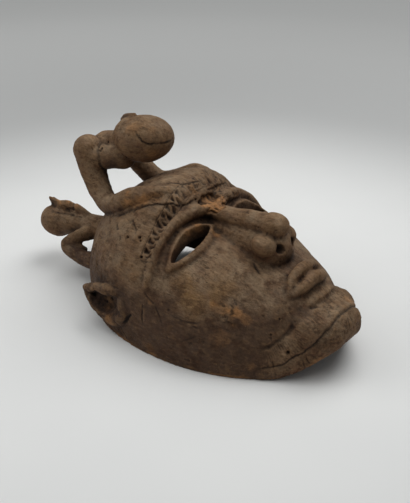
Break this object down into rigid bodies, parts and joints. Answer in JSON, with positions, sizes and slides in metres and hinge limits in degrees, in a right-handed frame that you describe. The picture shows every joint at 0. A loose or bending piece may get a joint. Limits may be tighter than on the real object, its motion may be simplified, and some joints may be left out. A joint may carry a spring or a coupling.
{
  "type": "carved wooden face mask",
  "caption": "Carved hollow wooden face mask with pierced eyes, domed forehead, beard band and ears, and small bent-armed figures on its forehead and crown.",
  "frame": {"origin": "under the middle of the part's bounding box, in the plane on which the rim rests", "axes": "+X from the crown to the chin, +Y across the face, +Z out of the face, up as the mask lies"},
  "size_m": [0.3278, 0.1772, 0.1578],
  "materials": {
    "wood": "old unpainted wood, matte, with a dusty grey-brown patina and worn orange-brown patches"
  },
  "bodies": {
    "root": {"mask_carving": "wood"}
  },
  "joints": []
}
